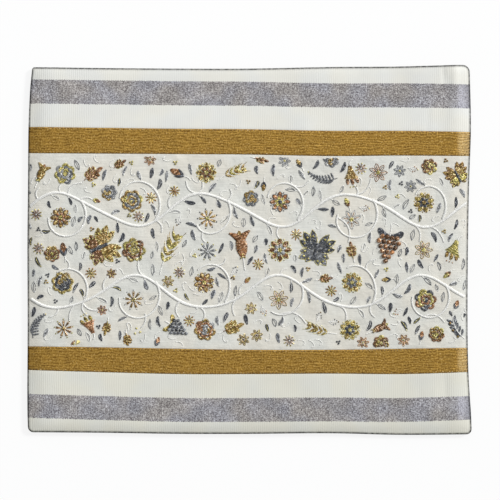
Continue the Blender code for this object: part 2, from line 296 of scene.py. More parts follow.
def clothWall(name, low, high, heights, columns, rows, proud=0.0):
    # one cut piece between two seam lines: a grid, extruded to the inside of its wall
    lowSteps, highSteps = steps["seam" if low else "edge"], steps["seam" if high < 5 else "mouth"]
    columnCount = 2 * len(steps["edge"]) + columns - 2
    rowCount = len(lowSteps) + len(highSteps) + rows - 2
    grid = dict(x_subdivisions=columnCount, y_subdivisions=rowCount, size=1)
    piece = newShape(bpy.ops.mesh.primitive_grid_add, name, **grid)
    editAll(lambda: bpy.ops.mesh.extrude_region_move(TRANSFORM_OT_translate={"value": (0, 0, -1)}))
    mesh = piece.data
    spots = np.array([vertex.co for vertex in mesh.vertices])
    i = np.rint((spots[:, 0] + 0.5) * columnCount).astype(int)
    j = np.rint((spots[:, 1] + 0.5) * rowCount).astype(int)
    x, y = np.zeros(len(i)), np.full(len(i), (seamY(low, 0) + seamY(high, 0)) / 2)
    lowGap, highGap = (bag["pieceGap"] / 2 if low else 0), (bag["pieceGap"] / 2 if high < 5 else 0)
    for _ in range(4):
        x = spreadPlaces(sideX("left", y), sideX("right", y), steps["edge"], steps["edge"], columns, i)
        y = spreadPlaces(seamY(low, x) + lowGap, seamY(high, x) - highGap, lowSteps, highSteps, rows, j)
    inward = inwardFrom(x, y)
    outer, inner = heights(x, y, inward)
    flatOfWall = rolled(inward, bag["frontRoll"])
    for line in {low, high} - {0, 5}:
        fromSeam = np.abs(y - seamY(line, x))
        outer = outer - bag["seamDip"] * (1 - quarterRound(fromSeam, bag["seamRound"])) * flatOfWall
    outer = outer + proud * flatOfWall
    # nearness to the outline, which the materials turn into painted edge shadow
    rim = 1 - ramp(np.minimum.reduce(list(inward.values())), *bag["rim"])
    paint(mesh, "rim", rim)
    x, y = roundCorners(x, y, inward)
    places = sideBySide(x, y, np.where(spots[:, 2] < -0.5, inner, outer)) * mm
    mesh.vertices.foreach_set("co", places.ravel())
    along = y - seamY(low, x) if low else y - seamY(high, x) + seamY(high, 0) - seamY(low, 0)
    corners = np.empty(len(mesh.loops), np.int32)
    mesh.loops.foreach_get("vertex_index", corners)
    mesh.uv_layers.active.data.foreach_set("uv", (sideBySide(x, along) * mm)[corners].ravel())
    editAll(lambda: bpy.ops.mesh.normals_make_consistent(inside=False))
    bpy.ops.object.shade_smooth_by_angle(angle=radians(55))
    return piece


# Shader building: short ways to add nodes, and the groups that several materials share
shared = {}


class Bench:
    # a node tree under way, with the coordinates that its patterns read
    def __init__(self, tree, coords=None):
        self.tree, self.coords = tree, coords

    def add(self, kind, inputs=(), **settings):
        node = self.tree.nodes.new(kind)
        for key, value in settings.items():
            setattr(node, key, value)
        for socket, value in dict(inputs).items():
            if isinstance(value, bpy.types.NodeSocket):
                self.tree.links.new(value, node.inputs[socket])
            else:
                node.inputs[socket].default_value = value
        return node

    def math(self, operation, *values):
        return self.add("ShaderNodeMath", enumerate(values), operation=operation).outputs[0]

    def times(self, first, second):
        return self.math("MULTIPLY", first, second)

    def scaled(self, value, factor, plus):
        return self.math("MULTIPLY_ADD", value, factor, plus)

    def wave(self, value, turns=1.0):
        return self.math("SINE", self.times(value, turns * pi))

    def along(self, axis, size=None):
        # a coordinate, or how many times a size fits in it
        place = self.add("ShaderNodeSeparateXYZ", {0: self.coords}).outputs[axis]
        if size is None:
            return place
        return self.math("DIVIDE", place, size * mm if isinstance(size, float) else self.times(size, mm))

    def joined(self, x, y):
        return self.add("ShaderNodeCombineXYZ", {0: x, 1: y}).outputs[0]

    def noise(self, scale, detail=2.0, at=None):
        inputs = {"Vector": self.coords if at is None else at, "Scale": scale, "Detail": detail}
        return self.add("ShaderNodeTexNoise", inputs).outputs[0]

    def span(self, value, low, high, start=0.0, end=1.0):
        return self.add("ShaderNodeMapRange", {0: value, 1: low, 2: high, 3: start, 4: end}).outputs[0]

    def mix(self, amount, first, second, blend="MIX"):
        inputs = {0: amount, 6: first, 7: second}
        return self.add("ShaderNodeMix", inputs, data_type="RGBA", blend_type=blend).outputs[2]

    def toned(self, colour, amount):
        # a colour made lighter or darker by a value near 1
        grey = self.add("ShaderNodeCombineColor", {0: amount, 1: amount, 2: amount}).outputs[0]
        return self.mix(1.0, colour, grey, "MULTIPLY")

    def painted(self, label):
        # a value that the mesh was painted with
        return self.add("ShaderNodeAttribute", attribute_name=label).outputs["Fac"]

    def group(self, name, **values):
        inputs = {"Coords": self.coords, **values}
        return self.add("ShaderNodeGroup", inputs, node_tree=shared[name]).outputs

    def put(self, **outputs):
        # the named outputs of a group
        for label in outputs:
            self.tree.interface.new_socket(label, in_out="OUTPUT", socket_type="NodeSocketFloat")
        self.add("NodeGroupOutput", outputs)

    def bump(self, height, depth, **under):
        return self.add("ShaderNodeBump", {"Height": height, "Distance": depth * mm, **under}).outputs[0]

    def finish(self, colour, height, depth, **under):
        # colour and relief go to the shader, the relief on a wider one where that is given
        for socket, value in (("Normal", self.bump(height, depth, **under)), ("Base Color", colour)):
            self.tree.links.new(value, self.shader.inputs[socket])
        return self.material


def newGroup(name, **values):
    # a group that reads coordinates and some values
    group = shared[name] = bpy.data.node_groups.new(name, "ShaderNodeTree")
    group.interface.new_socket("Coords", in_out="INPUT", socket_type="NodeSocketVector")
    for label, value in values.items():
        group.interface.new_socket(label, in_out="INPUT", socket_type="NodeSocketFloat").default_value = value
    given = group.nodes.new("NodeGroupInput").outputs
    return Bench(group, given["Coords"]), given


def buildWeave():
    # over-and-under threads: their relief, and how each thread differs from the next
    n, given = newGroup("weave", Warp=0.7, Weft=0.7)
    u, v = n.along(0, given["Warp"]), n.along(1, given["Weft"])
    wholeU, wholeV = n.math("FLOOR", u), n.math("FLOOR", v)
    reliefs = []
    for here, there, whole, shift in ((u, v, wholeU, 0.0), (v, u, wholeV, 1.0)):
        turn = n.times(n.math("ADD", n.math("ADD", there, whole), shift), pi)
        over = n.scaled(n.math("COSINE", turn), 0.35, 0.65)
        reliefs.append(n.times(n.wave(n.math("FRACT", here)), over))
    cell = n.joined(wholeU, wholeV)
    thread = n.add("ShaderNodeTexWhiteNoise", {0: cell}, noise_dimensions="2D").outputs[0]
    n.put(Height=n.math("MAXIMUM", *reliefs), Thread=thread)


def buildRibs():
    # vertical ribs that swell and thin a little
    n, given = newGroup("ribs", Pitch=1.75)
    sway = n.times(n.math("SUBTRACT", n.noise(90.0), 0.5), 0.9)
    rib = n.math("ABSOLUTE", n.wave(n.math("ADD", n.along(0, given["Pitch"]), sway)))
    n.put(Height=rib, Valley=n.math("POWER", n.math("SUBTRACT", 1.0, rib), 2.0))


def buildSlubs():
    # long uneven threads that run across the cloth
    n, given = newGroup("slubs", Length=14.0, Thick=0.8)
    rows = n.along(1, given["Thick"])
    streak = n.span(n.noise(1.0, 3.0, n.joined(n.along(0, given["Length"]), rows)), 0.32, 0.68)
    n.put(Height=n.scaled(n.wave(rows, 2), 0.25, streak), Streak=streak)


def buildUnevenTone():
    # the slow change of tone over handled cloth
    n, given = newGroup("tone", Size=40.0, Amount=0.06)
    centred = n.math("SUBTRACT", n.noise(n.math("DIVIDE", 1000.0, given["Size"]), 3.0), 0.5)
    n.put(Tone=n.scaled(centred, n.times(given["Amount"], 4.0), 1.0))


def buildGlints():
    # painted glints of twisted metal thread: small facets, each painted lighter or darker as if it caught the
    # light in its own way
    n, given = newGroup("glints", Size=0.85, Low=0.6, High=1.6)
    inputs = {"Vector": n.coords, "Scale": n.math("DIVIDE", 1000.0, given["Size"])}
    cells = n.add("ShaderNodeTexVoronoi", inputs).outputs["Color"]
    facet = n.add("ShaderNodeSeparateColor", {0: cells}).outputs[0]
    spread = n.math("SUBTRACT", given["High"], given["Low"])
    n.put(Tone=n.scaled(n.math("POWER", facet, 1.7), spread, given["Low"]), Facet=facet)


for build in (buildWeave, buildRibs, buildSlubs, buildUnevenTone, buildGlints):
    build()


def newFinish(name, roughness, sheen=0.0, metallic=0.0, specular=0.3, onCloth=True):
    material = bpy.data.materials.new(name)
    material.use_nodes = True
    n = Bench(material.node_tree)
    n.material, n.shader = material, material.node_tree.nodes["Principled BSDF"]
    for socket, value in (("Roughness", roughness), ("Metallic", metallic), ("Sheen Weight", sheen),
                          ("Sheen Roughness", 0.5), ("Specular IOR Level", specular)):
        n.shader.inputs[socket].default_value = value
    n.place = n.add("ShaderNodeTexCoord").outputs["Object"]
    n.coords = n.add("ShaderNodeUVMap").outputs[0] if onCloth else n.place
    return n


def paintRimShadow(n, colour):
    # painted shadow at the outermost millimetre or so, where the cloth turns under, broken up by noise
    rimShadow = n.span(n.noise(520.0, 2.0, n.place), 0.35, 0.6, 0.7, 1.0)
    rimShadow = n.times(rimShadow, n.times(n.painted("rim"), -bag["rimShadowDepth"]))
    return n.toned(colour, n.math("ADD", rimShadow, 1.0))


# Where the right side starts to turn down, from the middle of the bag: the painted highlight (shines) and the
# painted shade nearer the edge (dims)
turning = dict(shines=(171.2, 174.5), dims=(176, 181), dimmest=0.68, sway=5)


def paintLightAtTurn(n, colour, pale, amount):
    # painted light at the turn: a speckled painted highlight that makes the threads paler, then painted shade
    # darker towards the edge
    shines, dims = [[edge * mm for edge in turning[part]] for part in ("shines", "dims")]
    across = n.scaled(n.noise(260.0), turning["sway"] * mm, n.along(0))
    speckled = n.span(n.noise(900.0, 1.0), 0.4, 0.6, 0.45, 1.5)
    lit = n.times(n.span(across, *shines, 0.0, amount), speckled)
    return n.toned(n.mix(lit, colour, pale), n.span(across, *dims, 1.0, turning["dimmest"]))


def castOver(n, scale, warm, cool):
    # slow patches that lean to a warm or a cool tint
    return n.mix(n.span(n.noise(scale, 1.0), 0.4, 0.62), warm, cool)


stripedIvory = dict(
    ivory=(0.75, 0.75, 0.705, 1), valley=(0.705, 0.705, 0.665, 1), grey=(0.29, 0.275, 0.275, 1),
    # shine: the colour of the painted highlight on the grey stripe at the right-hand turn
    darkGrey=(0.15, 0.14, 0.145, 1), silver=(0.53, 0.525, 0.525, 1), shine=(0.58, 0.58, 0.66, 1),
    cool=(0.97, 0.99, 1.06, 1), warm=(1.03, 1.0, 0.96, 1),
    ribPitch=1.75, tooth=0.45, fleck=0.62, ribDepth=0.07,
    # both strips are the same cloth: the bottom one's darker, warmer tint is painted shade
    bottom=dict(name="stripedIvoryBottom", stripe=(10.5, 29.9), tint=(0.955, 0.945, 0.895, 1)),
    top=dict(name="stripedIvoryTop", stripe=(19.8, 39.4), tint=(1.0, 0.995, 0.985, 1)),
)


def stripedMaterial(name, stripe, tint):
    # ribbed ivory cloth with a grey stripe of mixed threads between two heights of the strip
    look, (low, high) = stripedIvory, stripe
    n = newFinish(name, 0.85, sheen=0.15)
    ribs = n.group("ribs", Pitch=look["ribPitch"])
    weave = n.group("weave", Warp=0.6, Weft=look["fleck"])
    # painted shade in the rib valleys, stronger in some patches
    valleyShadePatches = n.span(n.noise(45.0), 0.4, 0.62)
    white = n.mix(n.times(ribs["Valley"], valleyShadePatches), look["ivory"], look["valley"])
    # the tint, painted shade on the bottom strip
    white = n.mix(1.0, white, tint, "MULTIPLY")
    drawn = n.add("ShaderNodeMapping", {"Vector": n.coords, "Scale": (520.0, 900.0, 1.0)}).outputs[0]
    pale = n.times(n.span(n.noise(1.0, 2.0, drawn), 0.46, 0.62), 0.85)
    grey = n.mix(pale, look["grey"], look["silver"])
    grey = n.mix(n.math("GREATER_THAN", weave["Thread"], 0.72), grey, look["darkGrey"])
    grey = n.toned(grey, n.span(n.noise(60.0, 3.0), 0.4, 0.7, 0.92, 1.18))
    cast = castOver(n, 38.0, look["warm"], look["cool"])
    grey = paintLightAtTurn(n, n.mix(1.0, grey, cast, "MULTIPLY"), look["shine"], 0.4)
    white = n.mix(0.35, white, n.mix(1.0, white, cast, "MULTIPLY"))
    tooth = n.times(ribs["Height"], look["tooth"] * mm)
    ragged = n.scaled(weave["Thread"], 0.5 * mm, n.math("ADD", n.along(1), tooth))
    inStripe = n.times(n.math("GREATER_THAN", ragged, low * mm), n.math("LESS_THAN", ragged, high * mm))
    colour = n.toned(n.mix(inStripe, white, grey), n.group("tone", Size=34.0, Amount=0.035)["Tone"])
    return n.finish(paintRimShadow(n, colour), n.scaled(weave["Height"], 0.3, ribs["Height"]), look["ribDepth"])


# glint is the colour of painted glints, and shine that of the painted highlight at the right-hand turn
brocade = dict(base=(0.45, 0.247, 0.038, 1), dark=(0.195, 0.092, 0.009, 1), bright=(0.68, 0.42, 0.105, 1),
               glint=(0.74, 0.53, 0.24, 1), shine=(0.80, 0.60, 0.30, 1), threadPitch=2.2, sway=1.7)


def brocadeMaterial():
    n = newFinish("goldBrocade", 0.4, metallic=0.5)
    slubs, weave = n.group("slubs", Length=6.0, Thick=1.5), n.group("weave", Warp=0.8, Weft=0.5)
    rows = n.scaled(n.noise(48.0), brocade["sway"] * 2, n.along(1, brocade["threadPitch"]))
    ridge = n.scaled(n.wave(rows, 2), 0.5, 0.5)
    colour = n.mix(slubs["Streak"], brocade["dark"], brocade["base"])
    # the thread rows are painted lighter along their crests, a painted highlight
    colour = n.mix(n.times(ridge, 0.36), colour, brocade["bright"])
    fine = n.noise(1.7, 2.0, n.joined(n.times(n.along(0), 520.0), rows))
    speck, hollow = n.span(fine, 0.5, 0.68, 0.0, 0.9), n.span(fine, 0.3, 0.46, 0.7, 0.0)
    colour = n.mix(hollow, n.mix(speck, colour, brocade["bright"]), brocade["dark"])
    # a few threads painted in the glint colour: painted glints
    sparkle = n.times(n.math("GREATER_THAN", weave["Thread"], 0.97), speck)
    colour = n.toned(n.mix(sparkle, colour, brocade["glint"]), n.group("tone", Size=9.0, Amount=0.1)["Tone"])
    height = n.scaled(slubs["Height"], 0.4, n.times(weave["Height"], 0.35))
    colour = paintRimShadow(n, paintLightAtTurn(n, colour, brocade["shine"], 0.42))
    return n.finish(colour, n.scaled(ridge, 0.6, height), 0.12)


silk = dict(ground=(0.765, 0.745, 0.680, 1), shade=(0.56, 0.547, 0.500, 1), cool=(0.975, 1.0, 1.02, 1),
            warm=(1.015, 1.0, 0.975, 1), pucker=0.62, depth=0.07)


def silkMaterial():
    n = newFinish("silverSilk", 0.5, sheen=0.25, specular=0.4)
    slubs, weave = n.group("slubs", Length=16.0, Thick=0.6), n.group("weave", Warp=0.5, Weft=0.5)
    colour = n.mix(n.times(slubs["Streak"], 0.6), silk["ground"], silk["shade"])
    colour = n.toned(colour, n.group("tone", Size=13.0, Amount=0.075)["Tone"])
    colour = n.mix(1.0, colour, castOver(n, 30.0, silk["warm"], silk["cool"]), "MULTIPLY")
    puckers = n.bump(n.noise(130.0, 3.0), silk["pucker"])
    height = n.scaled(slubs["Height"], 0.35, weave["Height"])
    return n.finish(paintRimShadow(n, colour), height, silk["depth"], Normal=puckers)


plainIvory = dict(light=(0.73, 0.71, 0.65, 1), shade=(0.68, 0.66, 0.60, 1), depth=0.05, slack=0.5)


def plainIvoryMaterial():
    n = newFinish("plainIvory", 0.85, sheen=0.15)
    weave, slubs = n.group("weave", Warp=0.62, Weft=0.55), n.group("slubs", Length=18.0, Thick=2.6)
    colour = n.mix(slubs["Streak"], plainIvory["light"], plainIvory["shade"])
    colour = n.toned(colour, n.scaled(weave["Thread"], 0.08, 0.96))
    colour = n.toned(colour, n.group("tone", Size=50.0, Amount=0.05)["Tone"])
    slack = n.bump(n.noise(55.0, 3.0), plainIvory["slack"])
    return n.finish(paintRimShadow(n, colour), weave["Height"], plainIvory["depth"], Normal=slack)


# The front and the back, sewn from their cut pieces
goldCloth = brocadeMaterial()
clothOf = [stripedMaterial(**stripedIvory["bottom"]), goldCloth, silkMaterial(), goldCloth,
           stripedMaterial(**stripedIvory["top"])]
back = clothWall("backPanel", 0, 5, backHeights, 110, 80)
declare(back, plainIvoryMaterial(), "plain_ivory", "back_panel")
width = (sideX("right", 0) - sideX("left", 0)) * mm
for order, (node, name, rows, slot) in enumerate(frontPieces):
    proud = bag["goldProud"] if slot == "gold_brocade" else 0.0
    piece = clothWall(name, order, order + 1, frontHeights, bag["columns"], rows, proud)
    declare(piece, clothOf[order], slot, node)
float(seamY(5, 0) - seamY(0, 0)) * mm

# Embroidery: each stitch is one strand of thread between two places on the cloth.
# A place is a complex number, x + yj. A motif is drawn with its middle at 0 and its top at 1,
# and "here" puts it on the cloth in millimetres, turned and sized.
here = dict(at=0j, up=1 + 0j)
thread = dict(width=0.66, pitch=0.62, height=0.6, seed=29, margin=1.5, sunk=0.3, tails=0.25, slopeStep=0.3)
# Each spool: its two dyes, the pale colour of its painted glints, metal, roughness, sheen, how dark and light
# its painted facets go, how much it glints pale, how unevenly its stitches are toned, and how far each strays
# between the dyes
spools = dict(
    white=dict(
        first=(0.93, 0.92, 0.88, 1), second=(0.80, 0.80, 0.78, 1), pale=(0.95, 0.95, 0.92, 1),
        metallic=0.0, roughness=0.45, sheen=0.3, glint=(0.97, 1.03), sparkle=0.1, uneven=0.05, stray=0.1),
    gold=dict(
        first=(0.36, 0.205, 0.055, 1), second=(0.60, 0.53, 0.16, 1), pale=(0.90, 0.80, 0.50, 1),
        metallic=0.3, roughness=0.35, sheen=0.0, glint=(0.5, 1.6), sparkle=0.55, uneven=0.5, stray=0.3),
    copper=dict(
        first=(0.115, 0.055, 0.025, 1), second=(0.42, 0.20, 0.085, 1), pale=(0.86, 0.66, 0.48, 1),
        metallic=0.3, roughness=0.38, sheen=0.0, glint=(0.55, 1.6), sparkle=0.5, uneven=0.5, stray=0.3),
    slate=dict(
        first=(0.05, 0.055, 0.068, 1), second=(0.24, 0.25, 0.265, 1), pale=(0.70, 0.71, 0.72, 1),
        metallic=0.15, roughness=0.42, sheen=0.1, glint=(0.75, 1.5), sparkle=0.25, uneven=0.35, stray=0.25),
    silver=dict(
        first=(0.30, 0.31, 0.32, 1), second=(0.58, 0.58, 0.57, 1), pale=(0.92, 0.92, 0.90, 1),
        metallic=0.2, roughness=0.38, sheen=0.1, glint=(0.75, 1.35), sparkle=0.5, uneven=0.25, stray=0.3),
)
inks = dict(gold=("gold", 0.15), ochre=("gold", 0.5), yellow=("gold", 1.0), umber=("copper", 0.0),
            copper=("copper", 0.4), rust=("copper", 0.95), slate=("slate", 0.0), steel=("slate", 0.7),
            silver=("silver", 0.4), pale=("silver", 1.0), white=("white", 0.1), pearl=("white", 0.5))
stitches = {spool: [] for spool in spools}
sewn = []  # where thread already lies, so that nothing is sewn over it by chance
dice = random.Random(thread["seed"])


def sew(ink, start, end, width=None, height=None, lift=0.0):
    spool, shade = inks[ink]
    uneven, stray = spools[spool]["uneven"], spools[spool]["stray"]
    shade = min(1, max(0, shade + dice.uniform(-stray, stray)))
    stitches[spool].append((start.real, start.imag, end.real, end.imag, width or thread["width"],
                            height or thread["height"], lift, shade, 1 + dice.uniform(-uneven, uneven)))
    sewn.extend((start, (start + end) / 2, end))


def onCloth(places):
    return here["at"] + here["up"] * np.array(places)


def turned(degrees, size=1.0):
    return cmath.rect(size, radians(degrees))


def bend(start, end, bulge, count=14):
    # a bowed line between two places, bulging to its left by a part of its length
    side = (end - start) * 1j * bulge
    return [start + (end - start) * t + side * 4 * t * (1 - t) for t in np.linspace(0, 1, count)]


def swell(most, low=0.1, share=0.8):
    return lambda t: most * sin(pi * (low + share * t))


def evenly(path, pitch):
    # even places along a path: how far along, where on the cloth, and which way it runs
    path = onCloth(path)
    runs = np.concatenate([[0], np.cumsum(np.abs(np.diff(path)))])
    count = max(2, int(round(runs[-1] / pitch)))
    stops = np.linspace(0, runs[-1], count + 1)
    at = np.interp(stops, runs, path.real) + 1j * np.interp(stops, runs, path.imag)
    for k in range(count):
        way = at[k + 1] - at[k]
        yield (k + 0.5) / count, (at[k] + at[k + 1]) / 2, way / max(abs(way), 1e-9)


def satin(ink, path, half, slant=28, height=None, lift=0.0, pitch=None, width=None):
    # strands laid side by side across a path
    for t, at, way in evenly(path, pitch or thread["pitch"]):
        reach = (half(t) if callable(half) else half) * abs(here["up"])
        across = way * turned(90 - slant) * reach
        if reach > 0.25:
            sew(ink, at - across, at + across, width, height, lift)


def line(ink, path, width=0.7, step=2.2, lift=0.0):
    # stem stitch: short strands that overlap along a path
    for _, at, way in evenly(path, step * 0.8):
        lean = way * turned(7) * step / 2
        sew(ink, at - lean, at + lean, width, width, lift)


def leaf(ink, start, end, half, bulge=0.08, vein=None):
    # two rows of slanting strands that meet in a vein
    spine = bend(start, end, bulge)
    for t, at, way in evenly(spine, thread["pitch"] * 1.35):
        for side in (48, -48):
            sew(ink, at, at + way * turned(side, swell(half * 1.35 * abs(here["up"]), 0.1, 0.86)(t)), 0.8)
    if vein:
        line(vein, spine, 0.4, lift=0.35)


def petal(ink, start, end, half, lift=0.0):
    satin(ink, [start, end], lambda t: swell(half, 0.12)(t**0.9), 24, 0.75, lift)


def loop(ink, start, end, half, width=0.55):
    # an open petal: a chain of thread out and back
    for first, last in ((start, end), (end, start)):
        line(ink, bend(first, last, half / abs(end - start)), width, 1.7)


def knot(ink, at, size=1.3, lift=0.0, share=0):
    size = share * abs(here["up"]) or size
    at, way = onCloth(at), turned(dice.uniform(0, 180), size / 2)
    sew(ink, at - way, at + way, size, size * 0.8, lift)


def knots(ink, at, share, count, lift=0.0):
    knot(ink, at, lift=lift)
    for k in range(count if share * abs(here["up"]) > 1 else 0):
        knot(ink, at + turned(360 / count * k, share), lift=lift)


def bloom(ink, reach, count, turn, hole, plump, lift=0.0, edge=None):
    for k in range(count):
        way, half = turned(turn + 360 / count * k, reach), plump * pi * reach * 0.62 / count
        petal(ink, way * hole, way, half, lift)
        if edge:
            loop(edge, way * hole, way * 1.04, half * 1.05)


def medallion(outer, inner, heart):
    # a ring of wide petals, a smaller raised ring over it, and a knotted heart
    bloom(outer, 1, 8, 0, 0.42, 0.95, 0.0, "umber" if inner == "rust" else heart)
    for k in range(8):
        knot(heart, turned(22.5 + 45 * k, 0.98), 0.95)
    bloom(inner, 0.56, 6, 15, 0.3, 0.9, 0.35)
    knots(heart, 0, 0.15, 5, 0.6)


def rosette(outer, inner, heart):
    # a full rose: rows of scalloped petals wound round each other
    for ring, ink, arcs in ((0.84, outer, 7), (0.6, inner, 6), (0.37, outer, 4), (0.15, heart, 3)):
        for k in range(arcs):
            start = turned(360 / arcs * k + 70 * ring, ring)
            end = turned(360 / arcs * (k + 1.12) + 70 * ring, ring * 0.92)
            shade = dice.choice((ink, ink, ink, inner, heart))
            satin(shade, bend(start, end, -0.42), swell(0.16), 20, 0.8, 0.3 * (1 - ring), 0.7)
    knot(heart, 0, 1.2, 0.45)


def starFlower(outer, inner, heart):
    # straight strands out from the middle, with a knot at every end
    for k in range(9):
        for fan in (-7, 0, 7):
            ends = onCloth([turned(40 * k, 0.2), turned(40 * k + fan, 0.88)])
            sew(outer if fan else inner, *ends, 0.6, 0.65)
        knot(heart, turned(40 * k), 1.0)
    knots(inner, 0, 0.16, 4, 0.3)


def daisy(outer, inner, heart):
    for k in range(7):
        way = turned(360 / 7 * k)
        loop(outer, way * 0.25, way, 0.2)
        sew(inner, *onCloth([way * 0.3, way * 0.78]), 0.6)
    knots(heart, 0, 0.15, 5)


def tulip(outer, inner, heart):
    satin(inner, [-0.35, 0.95], swell(0.3, 0.15))
    for side in (1, -1):
        path = bend(-0.45, 0.9 + 0.55j * side, -0.24 * side)
        satin(outer, path, swell(0.24, 0.08, 0.87), 24 * side, 0.75, 0.2)
    line("white", [-0.45, -1.15], 0.8)
    knots(heart, -0.42, 0.12, 3, 0.3)


def bellFlower(outer, inner, heart):
    satin(outer, [-0.7, 0.45], lambda t: 0.16 + 0.42 * t * t + 0.12 * t, 10, 0.8)
    for side in (-1, 0, 1):
        petal(inner, 0.4 + 0.36j * side, 0.95 - 0.1 * abs(side) + 0.45j * side, 0.17, 0.15)
    for side in (-1, 0, 1):
        knot(heart, 1.12 + 0.25j * side, 1.0)
    line("white", bend(-0.75, -1.2 + 0.3j, 0.2), 0.8)


def grapes(outer, inner, heart):
    for row, count in enumerate((4, 5, 4, 3, 2, 1)):
        for k in range(count):
            ink = dice.choice((outer, outer, inner))
            knot(ink, 0.62 - 0.29 * row + 0.3j * (k - (count - 1) / 2), share=0.27)
    for side in (1, -1):
        leaf(heart, 0.75, 1.05 + 0.75j * side, 0.2, 0.15 * side)
    line("white", [0.7, 1.25], 0.8)


def wheatEar(outer, inner, heart):
    spine = bend(-1.1, 0.9, 0.07)
    line("white", spine[:6], 0.7)
    for k in range(5):
        base = spine[4 + 2 * k - k // 3]
        for side in (1, -1):
            tip = base + turned(38 * side, 0.4)
            petal(outer if k % 2 else inner, base, tip, 0.085)
            sew(heart, *onCloth([tip, tip + turned(20 * side, 0.24)]), 0.4, 0.4)
    petal(outer, spine[11], spine[-1], 0.1)


def oliveSprig(outer, inner, heart):
    spine = bend(-1, 0.8, 0.12)
    line("white", spine, 0.7)
    for k in range(1, 6):
        base = spine[2 * k]
        for side, ink in ((1, outer), (-1, inner)):
            leaf(ink, base, base + turned(40 * side, 0.5), 0.085, 0.05 * side)
        if k % 2:
            knot(heart, base + turned(75, 0.24), share=0.17)
    leaf(outer, spine[-1], spine[-1] + 0.42, 0.09)


def fern(outer, inner, heart):
    spine = bend(-1, 1, 0.16, 20)
    line(inner, spine, 0.6)
    for k in range(2, 19, 2):
        for side in (1, -1):
            petal(outer, spine[k], spine[k] + turned(52 * side - 12 * k / 19, 0.52 * (1 - k / 24)), 0.075)
    knot(heart, spine[-1], 1.1)


def bud(outer, inner, heart):
    petal(outer, -0.2, 1, 0.42)
    for side in (1, -1):
        petal(inner, -0.5, 0.3 + 0.42j * side, 0.17, 0.2)
    line("white", bend(-0.5, -1.3, 0.15), 0.7)


def butterfly(outer, inner, heart):
    # each wing is a fan of outlined lobes, with a row of knots along its rim
    lobes = ((24, 1.1, outer, 0.17), (47, 1.16, outer, 0.2), (70, 0.98, outer, 0.18),
             (104, 0.78, inner, 0.16), (128, 0.92, inner, 0.19), (152, 0.74, inner, 0.15))
    for side in (1, -1):
        for angle, reach, ink, half in lobes:
            way = turned(side * angle)
            petal(ink, way * 0.14, way * reach, half)
            loop(heart, way * 0.2, way * reach * 1.03, half * 1.08)
            knot(heart, way * reach * 0.72, lift=0.45, share=0.1)
        line("slate", bend(0.42, 0.98 + 0.3j * side, 0.12 * side), 0.45)
    satin("slate", [-0.5, 0.45], 0.085, 0, 0.9, 0.35)


def berries(outer, inner, heart):
    for k, side in enumerate((-1, 1, -1, 1)):
        tip = 0.1 + 0.2 * k + 1j * (0.55 - 0.1 * k) * side
        line("pearl", bend(0.2 * k - 0.8, tip, 0.1 * side), 0.5)
        knot(outer, tip, share=0.22)
    line("pearl", [-1, 0.9], 0.55)
    knot(inner, 1, share=0.24)


def tripleDot(outer, inner, heart):
    for k in range(3):
        knot(outer, turned(120 * k, 0.62), 1.5)


def spray(outer, inner, heart):
    # a lobed autumn leaf: fat lobes in pairs up a vein, and one at the end
    spine = bend(-0.75, 0.55, 0.06)
    for k, size in ((3, 0.5), (6, 0.62), (9, 0.55)):
        for side in (1, -1):
            tip = spine[k] + turned(56 * side, size)
            petal(outer, spine[k], tip, 0.17)
            loop(heart, spine[k], tip, 0.17)
    petal(outer, spine[-3], 1, 0.2)
    line(inner, spine, 0.6, lift=0.4)
    line("white", [-0.75, -1.15], 0.8)


def draw(motif, at, radius, turn, colours):
    here.update(at=at, up=turned(turn, radius))
    motif(*colours.split())
    here.update(at=0j, up=1 + 0j)


# The two vines, and the branches that leave them and wind round their medallions
vine = dict(
    upper=33.0, lower=-35.0, swing=13.0, period=118.0, shift=-153.0, wobble=1.6, half=1.15, height=1.05,
    run=(-184, 185, 1.5), pitch=0.6, strand=0.85, stemReach=(4, 24), stemClear=1.5, stemTries=30,
    bay=20.0, rootAt=0.14, windsTo=10.5, turns=(150, 245), branchSteps=44, branchHalf=0.85, lastFlower=180,
    flowerShare=0.76, twigEvery=21, twigLean=(45, 70), twigReach=(9, 15), flower=4.0, leafEvery=7.5,
    leafLean=(30, 65),
    twigColours=("gold rust yellow", "copper yellow gold", "steel silver yellow", "yellow copper gold",
                 "rust steel yellow"),
    medallionColours=("gold rust yellow", "copper ochre silver", "ochre slate gold", "silver rust yellow",
                      "rust yellow slate", "gold steel yellow"),
)
# What fills the ground between them: leaves with their veins, and thin tendrils
scatter = dict(leaves=112, leafLength=(5.5, 9.5), leafHalf=(1.1, 1.75), leafTurn=(55, 125), outlined=0.35,
               edged=0.6, tendrils=85, tendrilReach=12, tendrilSteps=26,
               tries=500, gap=0.9, reachX=178, low=-76, high=74,
               leafInks=(("slate", "pale"), ("slate", None), ("steel", "slate"), ("silver", "slate"),
                         ("slate", None), ("steel", None), ("slate", "yellow"), ("silver", "steel")))


def vineAt(x, which, side):
    wave = side * vine["swing"] * cos(2 * pi * (x - vine["shift"]) / vine["period"])
    return complex(x, vine[which] + wave + vine["wobble"] * sin(x / 9.0 + side))


def cordStitch(path, half):
    satin("white", path, half, 26, vine["height"], 0, vine["pitch"], vine["strand"])


